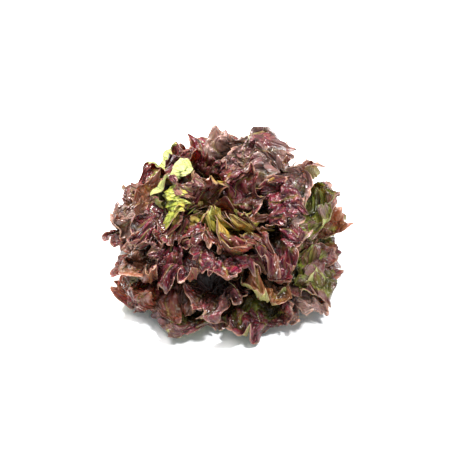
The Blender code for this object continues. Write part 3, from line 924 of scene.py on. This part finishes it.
# Veins are sunk into the upper face. The tissue between them swells in blisters and crumples, because
# it grows faster than the veins do, and the midrib stands out below.
FINE_THICKNESS = 0.0005
FINE_MIDRIB = 0.0021
MIDRIB_HALF_WIDTH = 0.0016
MIDRIB_NARROWING = (1.2, 0.9)
MIDRIB_END = 0.9
SIDE_VEIN_WIDTH = 0.07
SIDE_VEIN_FADE = (1.0, 0.6)
VEIN_DEPTH = 0.0012
BLISTERS = ((0.01, 0.0036), (0.0062, 0.0022))
BLISTERS_FROM = (0.1, 0.35)
CRUMPLE_SIZE = 0.0065
CRUMPLE_LENGTH = 0.0095
FINER_CRUMPLE = 0.5
CRUMPLES_FROM = (0.05, 0.4)
INNER_EDGE = 0.72
RIM_CRUMPLE = 0.6
LATTICE = 64
PATTERN_SHIFT = 0.3
BLISTER_JITTER = (0.1, 0.9)
CREASE_WIDTH = 0.6


def uneven(x, y, size, rng):
    """Soft random hills and hollows of one size, from -1 to 1."""
    heights = rng.uniform(-1.0, 1.0, (LATTICE, LATTICE))
    column, row = np.floor(x / size).astype(int), np.floor(y / size).astype(int)
    across, up = x / size - column, y / size - row
    across, up = smooth_step(0.0, 1.0, across), smooth_step(0.0, 1.0, up)
    corners = [heights[(column + i) % LATTICE, (row + j) % LATTICE] for i in (0, 1) for j in (0, 1)]
    near = between(corners[0], corners[1], up)
    far = between(corners[2], corners[3], up)
    return between(near, far, across)


def domes(x, y, cell, rng):
    """Rounded blisters on a jittered grid: 1 at the top of each, 0 in the creases between them."""
    jitter = rng.uniform(*BLISTER_JITTER, (LATTICE, LATTICE, 2))
    column, row = np.floor(x / cell).astype(int), np.floor(y / cell).astype(int)
    nearest = np.full(x.shape, np.inf)
    second = np.full(x.shape, np.inf)
    for step_x in (-1, 0, 1):
        for step_y in (-1, 0, 1):
            spot = jitter[(column + step_x) % LATTICE, (row + step_y) % LATTICE]
            away_x = x / cell - (column + step_x + spot[..., 0])
            away_y = y / cell - (row + step_y + spot[..., 1])
            distance = np.hypot(away_x, away_y)
            second = np.minimum(second, np.maximum(nearest, distance))
            nearest = np.minimum(nearest, distance)
    return smooth_step(0.0, CREASE_WIDTH, second - nearest)


def veins_and_midrib(places, flat_y):
    """How deep each point lies in a vein, from 0 to 1, and how near it is to the midrib."""
    side_vein = np.exp(-((places.across / SIDE_VEIN_WIDTH) ** 2))
    side_vein = side_vein * smooth_step(*SIDE_VEIN_FADE, places.out) * places.lobed
    wide, taper = MIDRIB_NARROWING
    half_width = MIDRIB_HALF_WIDTH * (wide - taper * places.u)
    midrib = np.exp(-((flat_y / half_width) ** 2)) * (places.u < MIDRIB_END)
    return np.clip(side_vein + midrib, 0.0, 1.0), midrib


def tissue_relief(places, x, y, rng):
    """Height of the blisters, and of the crumples as a share of the deepest."""
    inner = smooth_step(1.0, INNER_EDGE, places.out)
    (wide, high), (narrow, low) = BLISTERS
    blister = high * (domes(x, y, wide, rng) - 0.5)
    blister += low * (domes(x, y, narrow, rng) - 0.5) * inner
    crumple = uneven(x, y, CRUMPLE_LENGTH, rng) * between(RIM_CRUMPLE, 1.0, inner)
    crumple += FINER_CRUMPLE * uneven(x, y, CRUMPLE_LENGTH / 2, rng) * inner
    return blister, crumple


# The crowded leaves push one another about and bend under their own weight. Three leaf ends have
# flopped right over and show their pale undersides. The free room around a leaf limits its relief.
TOUSLES = ((0.058, 0.005), (0.038, 0.003), (0.026, 0.002), (0.017, 0.0011))
YOUNG_TOUSLES = ((0.02, 0.0026), (0.0125, 0.0015))
TOUSLE_RADII = (0.02, 0.06)
NODDING_HEIGHT = 0.125
TALLEST_RISE = 0.022
FOLD_RADIUS = 0.0065
MOST_FOLD = 2.7
UP_SHARE = 0.75
DOWN_SHARE = 0.45
SLOW_SHARE = 0.65
LEAST_ROOM = 0.0010
LEAST_WRINKLE = 0.0018
YOUNG_WRINKLE = 0.0036
FINE_CUT_SHARE = 0.68
# Where the ends of some leaves fold over, as a share of their length, and how deep their cuts are.
FOLDED_AT = {10: 0.72, 15: 0.74, 28: 0.77}
SHALLOW_CUTS = {15: 0.15, 28: 0.15}
# Spreads of the tints that a leaf draws, unless they are given.
TINT_SPREADS = {"green": (-0.2, 0.2), "brown": (0.0, 0.7), "grey": (0.0, 0.5)}
PATTERN_STEP = 0.37


def tousled(points, young):
    """The crowded leaves push one another about, the young ones in smaller steps too."""
    bends = TOUSLES + tuple((wavelength, size * young) for wavelength, size in YOUNG_TOUSLES)
    return bent_space(points, SEED + 5, TOUSLE_RADII, bends)


def bent_by_weight(points):
    """The tallest lobes nod under their own weight."""
    moved = points.copy()
    over = np.maximum(points[..., 2] - NODDING_HEIGHT, 0.0)
    moved[..., 2] -= over - TALLEST_RISE * np.tanh(over / TALLEST_RISE)
    return moved


def folded(x, fold_start, raised):
    """Rolls the end of a leaf over towards its upper face, beyond a line across it."""
    beyond = np.maximum(x - fold_start, 0.0)
    angle = np.minimum(beyond / FOLD_RADIUS, MOST_FOLD)
    straight = beyond - FOLD_RADIUS * angle
    along = np.minimum(x, fold_start) + FOLD_RADIUS * np.sin(angle) + straight * np.cos(angle)
    rise = FOLD_RADIUS * (1.0 - np.cos(angle)) + straight * np.sin(angle)
    return along - raised * np.sin(angle), rise + raised * np.cos(angle)


def softly_limited(raised, up_room, down_room):
    """Keeps what is raised or sunk within the room that the next leaves leave."""
    up = up_room * np.tanh(np.maximum(raised, 0.0) / up_room)
    down = down_room * np.tanh(np.minimum(raised, 0.0) / down_room)
    return up + down


def within_room(places, gestured, wrinkled):
    """Gestures and wrinkles together, each kept within its share of the free room."""
    rooms = UP_SHARE * places.above, DOWN_SHARE * places.below
    slow_rooms = [np.maximum(SLOW_SHARE * room, LEAST_ROOM) for room in rooms]
    slow = softly_limited(gestured * places.free * places.lobed * places.depth, *slow_rooms)
    least = between(LEAST_WRINKLE, YOUNG_WRINKLE, places.young)
    quick_rooms = [least + (1.0 - SLOW_SHARE) * room for room in rooms]
    return slow + softly_limited(wrinkled * places.depth, *quick_rooms)


def fine_leaf(plan, grid, tints):
    """Points of the fine blade, what its colours depend on, and where each point lies when flat."""
    rng = np.random.default_rng(SEED * 77 + plan.number)
    places = BladePlaces(plan, grid)
    plan.cut_depth = SHALLOW_CUTS.get(plan.number + 1, plan.cut_depth * FINE_CUT_SHARE)
    u, s, out, lobed = places.u, places.s, places.out, places.lobed
    frill, scallop, roll = rim_waves(walk_to_tip(plan, grid) / places.scale, rng)
    cup, toss, twist, curl, droop = lobe_gestures(places, rng)
    rim_roll = RIM_ROLL * roll * places.free * lobed * places.liveliness
    run, rise = fine_curl(plan, grid, curl * places.free * lobed * places.liveliness, rim_roll)
    # Each point's place on the leaf, with its lobe curled and laid flat.
    reach = lobe_reach(plan, u, s, ROUND_CUT_POWER) * plan.length
    reach = reach + places.scale * SCALLOP_SIZE * scallop * out**4 * lobed
    root = np.interp(u, KNOTS, VEIN_ROOT) * plan.length
    x = root + reach * run * np.cos(places.slant)
    y = np.sign(s) * reach * run * np.sin(places.slant)
    flat_x = root + reach * out * np.cos(places.slant)
    flat_y = np.sign(s) * reach * out * np.sin(places.slant)
    # Height above the leaf's own layer.
    vein, midrib = veins_and_midrib(places, flat_y)
    spots = flat_x / places.scale, flat_y / places.scale + PATTERN_SHIFT
    blister, crumple = tissue_relief(places, *spots, rng)
    blister = blister * (smooth_step(*BLISTERS_FROM, u) * (1.0 - vein))
    frilled = FRILL_SIZE * (1.0 + HEART_FRILL * places.young) * frill
    frilled = frilled * smooth_step(FRILL_START, 1.0, out) ** FRILL_POWER
    crumpled = CRUMPLE_SIZE * crumple * smooth_step(*CRUMPLES_FROM, out) * (1.0 - vein)
    wrinkled = (frilled + crumpled - VEIN_DEPTH * vein) * lobed + blister
    gestured = lobe_lift(places, cup, toss, twist, droop, x / plan.length)
    height = own_lift(plan, u, s, x) + rise * reach + within_room(places, gestured, wrinkled)
    if plan.number + 1 in FOLDED_AT:
        x, height = folded(x, FOLDED_AT[plan.number + 1] * plan.length, height)
    points = settled(bent_by_weight(tousled(in_head(plan, x, y, height), places.young)))
    normals = vertex_normals(points, grid.faces)
    rib = (FINE_MIDRIB - FINE_THICKNESS) * (1.0 - u) ** MIDRIB_TAPER * midrib
    upper = points + normals * FINE_THICKNESS / 2
    under = points - normals * (FINE_THICKNESS / 2 + rib)[:, None]
    facts = {
        "sky": places.sky,
        "out": out,
        "along": np.clip(flat_x / plan.length, 0.0, 1.0),
        "vein": vein,
        "blister": blister / BLISTERS[0][1] + 0.5,
    }
    drawn = [rng.uniform(*spread) for spread in TINT_SPREADS.values()]
    for tint, value in zip(TINT_SPREADS, tints or drawn):
        facts[tint] = np.full_like(out, value)
    return np.concatenate([upper, under]), facts, np.stack([flat_x, flat_y], axis=-1)


def add_leaf(plan, kind, grid, tints, skins):
    """Adds a fine leaf in place of its solid. The second of its skins covers its underside."""
    name = f"{kind}_{plan.number + 1:02d}"
    points, facts, flat = fine_leaf(plan, grid, tints)
    facts = {fact: np.concatenate([values, values]) for fact, values in facts.items()}
    flat = np.concatenate([flat, flat]) + plan.number * PATTERN_STEP
    leaf = add_piece(name + "_fine", points, grid.blade_faces.tolist(), flat, facts)
    for skin in skins:
        leaf.data.materials.append(skin)
    below = np.zeros(len(grid.blade_faces), np.int32)
    below[len(grid.faces) : 2 * len(grid.faces)] = 1
    leaf.data.polygons.foreach_set("material_index", below)
    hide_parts(name)
    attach(leaf, "root")


# The leaves' skin is moist, waxy leaf tissue. Sunlit parts turn burgundy, covered parts stay olive or
# lime green, and the underside is paler and mauve. The veins are paler than the rest. On top of that,
# painted shade darkens the gaps that see little sky and the creases between blisters, a pale pink
# painted highlight runs along the rims, and some upper faces have a greyish purple painted sheen.
BURGUNDY = (0.033, 0.004, 0.01, 1.0)
SHADE = (0.016, 0.007, 0.003, 1.0)
WINE = (0.12, 0.008, 0.022, 1.0)
RED_BROWN = (0.23, 0.08, 0.026, 1.0)
GREY_PURPLE = (0.28, 0.19, 0.165, 1.0)
LIME = (0.25, 0.29, 0.032, 1.0)
PALE_GREEN = (0.33, 0.35, 0.115, 1.0)
MAUVE = (0.23, 0.1, 0.085, 1.0)
PAINTED_RIM_LIGHT = (0.48, 0.29, 0.2, 1.0)
LEAF_ROUGHNESS = 0.24
UNDERSIDE_ROUGHNESS = 0.45
WAX_COAT = 0.26
WAX_ROUGHNESS = 0.11
LEAF_GLOW = (0.003, 0.0015, 0.0006)
UNDERSIDE_GLOW = (0.003, 0.0018, 0.0008)
REDDENING = {"sky": 0.9, "out": 0.5, "along": 0.6, "vein": -0.4, "green": -1.5, "blister": 0.2}
REDDENING_BELOW = {"out": 0.7, "along": 0.8, "vein": -0.4, "green": -1.5}
RED_FROM = 1.75
RED_FULL = 2.35
RED_FROM_BELOW = 1.45
RED_FULL_BELOW = 2.2
PATCH_SIZE = 0.014
PATCH_SIZE_BELOW = 0.02
FLECK_SIZE = 0.0045
FLECK_SIZE_BELOW = 0.005
BLISTER_CELL = 0.0052
BLISTER_DEPTH = 0.0019
NET_CELL = 0.0065
FINE_NET_CELL = 0.0026
NET_DEPTH = 0.0016


def upper_skin(name, redness, greens, patch_size=PATCH_SIZE):
    """Upper face: green where covered, red where the light falls, blistered between paler veins.

    Painted shade darkens its creases and the gaps that see little sky, its rim has a painted highlight,
    and a greyish purple painted sheen lies on the greyer leaves.
    """
    skin = Skin(name, LEAF_ROUGHNESS)
    patches = skin.noise(patch_size, detail=3.0)
    flecks = skin.noise(FLECK_SIZE)
    pigment = skin.weighed(*skin.facts(REDDENING), (patches, 1.5), (flecks, 0.7))
    pigment = skin.step(pigment, RED_FROM - redness, RED_FULL - redness)
    green = skin.mix(greens[0], greens[1], skin.step(skin.noise(0.01), 0.35, 0.65))
    # Painted shade: darker burgundy in the creases between blisters, wine on their crests, with random
    # tone.
    crease_shade_and_tone = skin.weighed((skin.noise(0.007), 1.0), (skin.fact("blister"), 0.35))
    red = skin.mix(BURGUNDY, WINE, skin.step(crease_shade_and_tone, 0.35, 0.95))
    brown = skin.weighed((skin.fact("brown"), 0.9), (skin.noise(0.018), 1.0))
    red = skin.mix(red, RED_BROWN, skin.step(brown, 0.6, 1.6))
    # Painted sheen: a greyish purple veil, as of sky reflected at glancing angles, on the greyer leaves.
    grey_sheen = skin.weighed((skin.fact("grey"), 0.8), (skin.noise(0.02), 0.9))
    red = skin.mix(red, GREY_PURPLE, skin.math("MULTIPLY", skin.step(grey_sheen, 0.7, 1.45), 0.8))
    colour = skin.mix(green, red, pigment)
    vein = skin.weighed((skin.fact("vein"), 0.3), (skin.step(skin.net(0.0035), 0.12, 0.0), 0.08))
    colour = skin.mix(colour, greens[1], vein)
    # Painted highlight: a pale pink line along the rim, where the thin edge catches and lets light
    # through.
    rim = skin.weighed((skin.fact("out"), 1.0), (skin.noise(0.012), 0.14))
    colour = skin.mix(colour, PAINTED_RIM_LIGHT, skin.math("MULTIPLY", skin.step(rim, 1.01, 1.09), 0.6))
    # Painted shade: the colour darkens to near-black where little open sky reaches, in the gaps between
    # leaves.
    open_air = skin.weighed((skin.fact("sky"), 1.0), (skin.fact("out"), 0.25), (patches, 0.2))
    colour = skin.mix(SHADE, colour, skin.step(open_air, 0.08, 0.66))
    skin.paint(colour, glow=0.2, glow_depths=LEAF_GLOW)
    skin.shader.inputs["Coat Weight"].default_value = WAX_COAT
    skin.shader.inputs["Coat Roughness"].default_value = WAX_ROUGHNESS
    blisters = skin.math("POWER", skin.step(skin.net(BLISTER_CELL), 0.0, 0.35), 0.7)
    height = skin.weighed((blisters, 1.0), (skin.noise(0.003), 0.9), (skin.noise(0.0014), 0.3))
    skin.bump(height, BLISTER_DEPTH)
    return skin.material


def under_skin(name, redness, greens):
    """Underside: matt and pale, greener towards the stalk, raised pale veins, a painted rim highlight.
    """
    skin = Skin(name, UNDERSIDE_ROUGHNESS)
    patches = skin.noise(PATCH_SIZE_BELOW, detail=3.0)
    flecks = skin.noise(FLECK_SIZE_BELOW)
    pigment = skin.weighed(*skin.facts(REDDENING_BELOW), (patches, 0.9), (flecks, 0.4))
    pigment = skin.step(pigment, RED_FROM_BELOW - redness, RED_FULL_BELOW - redness)
    pale = skin.weighed((skin.noise(0.015), 0.7), (skin.fact("green"), 0.6))
    green = skin.mix(greens[0], greens[1], skin.step(pale, 0.3, 0.8))
    dark = skin.weighed((skin.noise(0.012), 0.8), (skin.fact("grey"), -0.3))
    red = skin.mix(MAUVE, WINE, skin.step(dark, 0.2, 0.5))
    red = skin.mix(red, RED_BROWN, skin.step(skin.fact("brown"), 0.3, 1.4))
    colour = skin.mix(green, red, pigment)
    net = skin.step(skin.net(NET_CELL), 0.14, 0.0)
    fine_net = skin.step(skin.net(FINE_NET_CELL), 0.16, 0.0)
    veins = skin.weighed((skin.fact("vein"), 0.45), (net, 0.22), (fine_net, 0.14))
    colour = skin.mix(colour, PALE_GREEN, veins)
    # Painted highlight: a fainter pale pink line along the underside's rim.
    rim = skin.weighed((skin.fact("out"), 1.0), (skin.noise(0.008), 0.1))
    colour = skin.mix(colour, PAINTED_RIM_LIGHT, skin.math("MULTIPLY", skin.step(rim, 1.02, 1.1), 0.4))
    skin.paint(colour, glow=0.25, glow_depths=UNDERSIDE_GLOW)
    raised_veins = (net, 0.8), (fine_net, 0.3)
    grain = (skin.noise(0.004), 0.9), (skin.noise(0.0018), 0.3)
    skin.bump(skin.weighed(*raised_veins, *grain), NET_DEPTH)
    return skin.material


# The heart leaves are the youngest: short and crowded at the top of the stem, strongly crinkled, and
# of tender gold and lime tissue that turns red at its tips and frills first.
GOLD = (0.42, 0.24, 0.03, 1.0)
HEART_PATCH_SIZE = 0.009
# How green, brown and grey each leaf is. Grey sets its painted sheen above and a paler mauve below.
HEART_TINTS = {
    1: (0.25, 0.6, 0.0), 2: (0.35, 0.5, 0.0), 3: (0.35, 0.5, 0.0), 4: (0.1, 0.5, 0.0),
    5: (0.1, 0.3, 0.0), 6: (0.3, 0.5, 0.0), 7: (-0.1, 0.3, 0.0), 8: (0.2, 0.4, 0.0),
    9: (0.3, 0.3, 0.1), 10: (0.5, 0.0, 0.2), 11: (0.05, 0.4, 0.0), 12: (-0.05, 0.3, 0.0),
    13: (-0.3, 0.0, 0.0), 14: (0.15, 0.1, 0.0),
}

heart_grid = FineGrid(rows=96, columns=18)
heart_skins = (
    upper_skin("heart_leaf_upper", redness=0.92, greens=(GOLD, LIME), patch_size=HEART_PATCH_SIZE),
    under_skin("heart_leaf_under", redness=0.25, greens=(GOLD, LIME)),
)
for plan in plans[:HEART_LEAVES]:
    add_leaf(plan, "heart_leaf", heart_grid, HEART_TINTS[plan.number + 1], heart_skins)


# The middle leaves make up the dome. They are full-grown, glossy and deep burgundy, with olive and
# lime tissue where others cover them. They grow from the middle of the stem.
OLIVE = (0.13, 0.125, 0.014, 1.0)
GREY_GREEN = (0.23, 0.22, 0.09, 1.0)
MIDDLE_TINTS = {
    15: (0.75, 0.0, 0.2), 16: (-0.3, 0.0, 0.0), 17: (-0.2, 0.1, 0.7), 18: (-0.3, 0.0, 0.0),
    19: (-0.3, 0.2, 0.0), 20: (-0.2, 0.2, 0.0), 21: (-0.3, 0.0, 0.0), 22: (0.35, 0.1, 0.8),
    23: (-0.2, 0.7, 0.5), 24: (0.35, 1.0, 0.0), 25: (-0.1, 0.4, 1.0), 26: (0.0, 0.6, 0.5),
    27: (0.8, 0.2, 0.8), 28: (0.6, 0.2, 0.3),
}

middle_grid = FineGrid(rows=130, columns=21)
middle_skins = (
    upper_skin("middle_leaf_upper", redness=0.95, greens=(OLIVE, LIME)),
    under_skin("middle_leaf_under", redness=0.3, greens=(GREY_GREEN, PALE_GREEN)),
)
for plan in plans[HEART_LEAVES : HEART_LEAVES + MIDDLE_LEAVES]:
    add_leaf(plan, "middle_leaf", middle_grid, MIDDLE_TINTS[plan.number + 1], middle_skins)


# The outer leaves are the oldest and broadest. They grow from just above the cut, arch over the
# surface, and have weathered to red-brown, under a greyish purple painted sheen. Leaves not named here
# draw their tints.
OUTER_TINTS = {
    29: (-0.2, 0.2, 0.5), 31: (0.0, 0.6, 0.7), 32: (0.5, 0.4, 0.6), 34: (0.1, 0.5, 0.2),
    35: (0.4, 0.6, 0.4), 36: (0.1, 0.5, 0.6), 37: (0.35, 0.2, 0.2), 39: (0.3, 0.4, 0.4),
    40: (0.5, 0.5, 0.4), 42: (0.35, 0.3, 0.5), 45: (0.0, 0.3, 1.0),
}

outer_grid = FineGrid(rows=146, columns=22)
outer_skins = (
    upper_skin("outer_leaf_upper", redness=0.68, greens=(OLIVE, LIME)),
    under_skin("outer_leaf_under", redness=0.2, greens=(GREY_GREEN, PALE_GREEN)),
)
for plan in plans[HEART_LEAVES + MIDDLE_LEAVES :]:
    add_leaf(plan, "outer_leaf", outer_grid, OUTER_TINTS.get(plan.number + 1), outer_skins)
